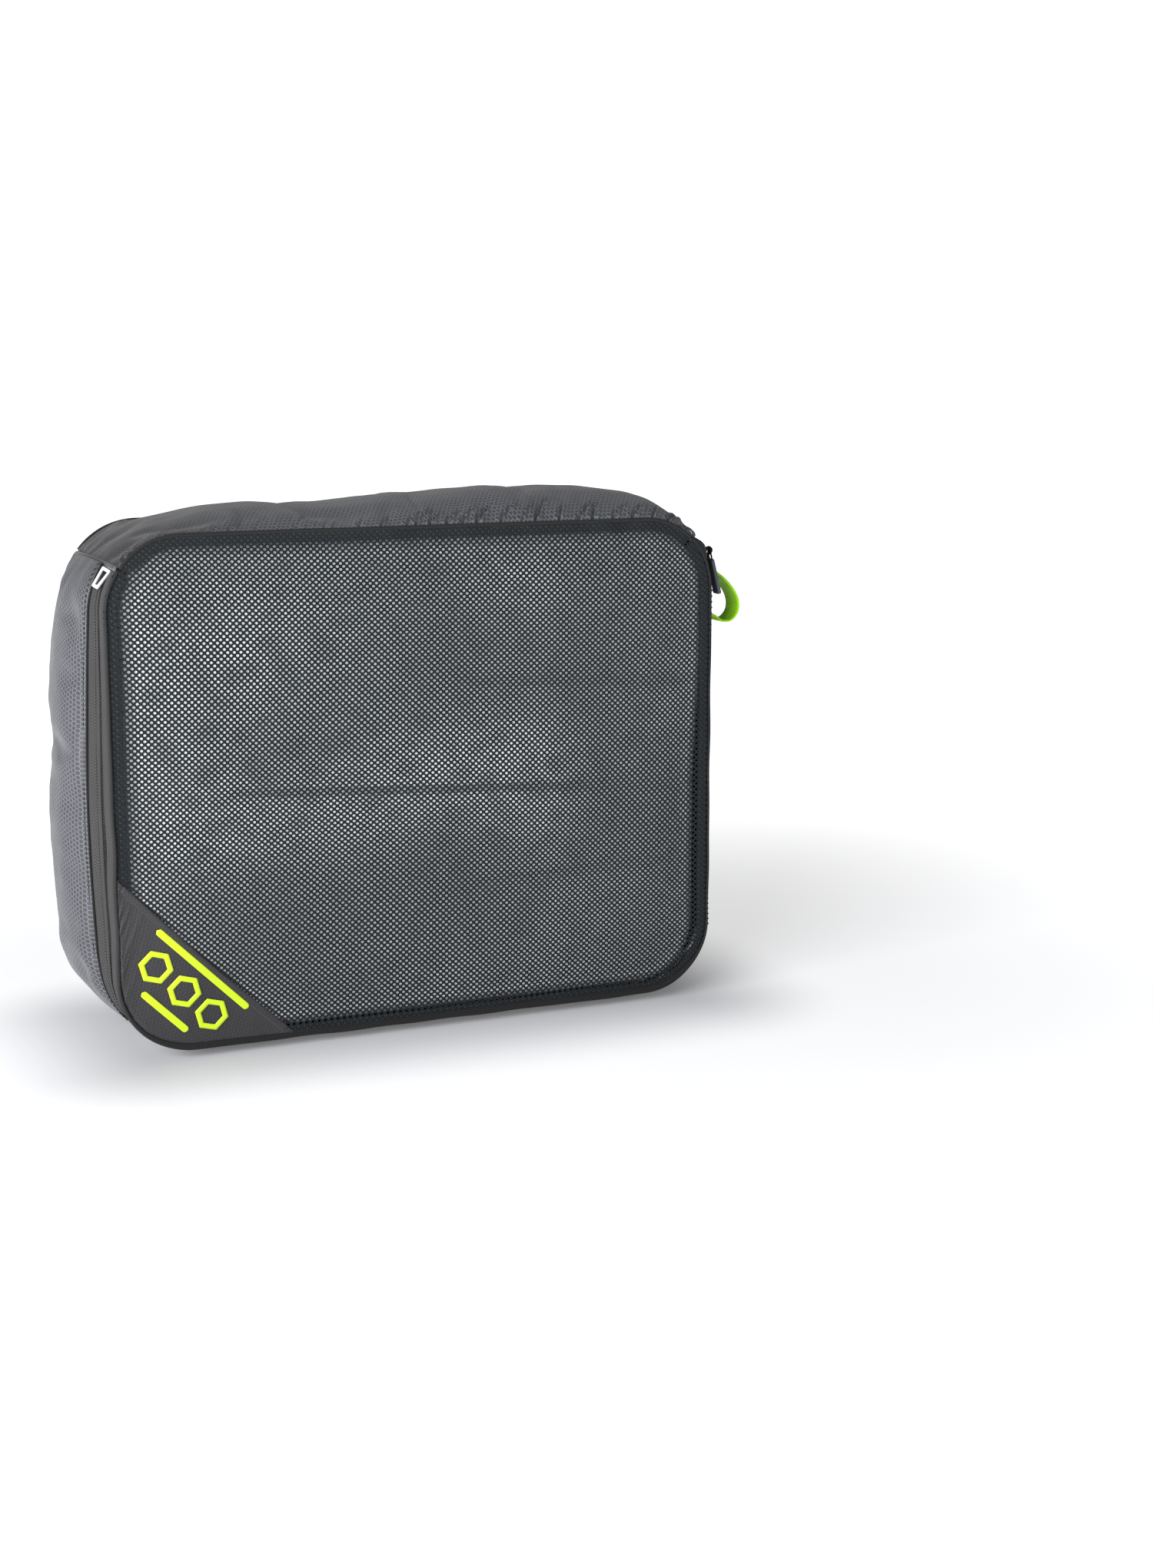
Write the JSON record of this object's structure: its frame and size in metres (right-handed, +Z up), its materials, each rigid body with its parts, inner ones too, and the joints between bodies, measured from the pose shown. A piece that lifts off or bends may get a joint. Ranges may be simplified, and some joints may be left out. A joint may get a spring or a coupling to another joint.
{
  "type": "zipped mesh laundry bag",
  "caption": "Box-shaped soft bag with a see-through mesh front that zips open and hinges up, a grab loop, and a filling of folded laundry.",
  "frame": {"origin": "middle of the base, on the floor, halfway through the bag's depth at its front and back seams", "axes": "+X towards the side with the slider and the grab loop, +Y from the mesh front to the back panel, +Z up"},
  "size_m": [0.4708, 0.1224, 0.355],
  "materials": {
    "ripstop": "charcoal ripstop nylon with a fine hexagonal weave",
    "edge_tape": "black folded and stitched edges",
    "zip_tape": "dark grey-brown twill zip tape",
    "zip_coil": "black nylon zip coil",
    "mesh": "black knitted diamond mesh",
    "patch": "dark ripstop corner patch",
    "print": "lime screen print",
    "silver": "silver-grey moulded tab",
    "slider": "dark enamelled die-cast slider",
    "pull": "dark grey moulded pull",
    "pull_face": "paler blue-grey face of the pull",
    "webbing": "lime-green ribbed webbing",
    "laundry": "pale folded cloth"
  },
  "bodies": {
    "bag_body": {"side_gusset": "ripstop", "top_gusset": "ripstop", "gusset_fold_edge": "edge_tape", "cross_seam_left": "edge_tape", "cross_seam_right": "edge_tape", "back_panel": "ripstop", "back_seam_binding": "edge_tape", "top_seam_welt": "edge_tape", "zip_tape_rear": "zip_tape", "zip_coil_rear": "zip_coil", "zip_end_tab_left": "silver", "zip_end_tab_right": "silver", "loop_end_upper": "webbing", "loop_end_lower": "webbing", "folded_laundry": "laundry"},
    "front_flap": {"mesh_panel": "mesh", "corner_patch": "patch", "patch_hem": "edge_tape", "print_stripe_long": "print", "print_stripe_short": "print", "print_hexagon_1": "print", "print_hexagon_2": "print", "print_hexagon_3": "print", "zip_tape_front": "zip_tape", "zip_coil_front": "zip_coil"},
    "zip_slider": {"slider_body": "slider", "slider_lug": "slider"},
    "zip_pull": {"pull_cord": "edge_tape", "pull_bar": "pull", "pull_face": "pull_face"},
    "grab_loop": {"grab_loop": "webbing"}
  },
  "joints": [
    {"name": "flap_hinge", "type": "hinge", "parent": "bag_body", "child": "front_flap", "pos_m": [0, -0.0585, 0.3385], "axis": [-1, 0, 0], "range_deg": [0, 110]},
    {"name": "slider_travel", "type": "slide", "parent": "bag_body", "child": "zip_slider", "axis": [0, 0, -1], "range_m": [0, 0.235]},
    {"name": "pull_pivot", "type": "hinge", "parent": "zip_slider", "child": "zip_pull", "pos_m": [0.2164, -0.04395, 0.315], "axis": [0, -1, 0], "range_deg": [0, 140]},
    {"name": "loop_flex", "type": "hinge", "parent": "bag_body", "child": "grab_loop", "pos_m": [0.2254, -0.0265, 0.2865], "axis": [0, 0, 1], "range_deg": [-28, 12], "stiffness_Nm_per_rad": 0.01}
  ]
}
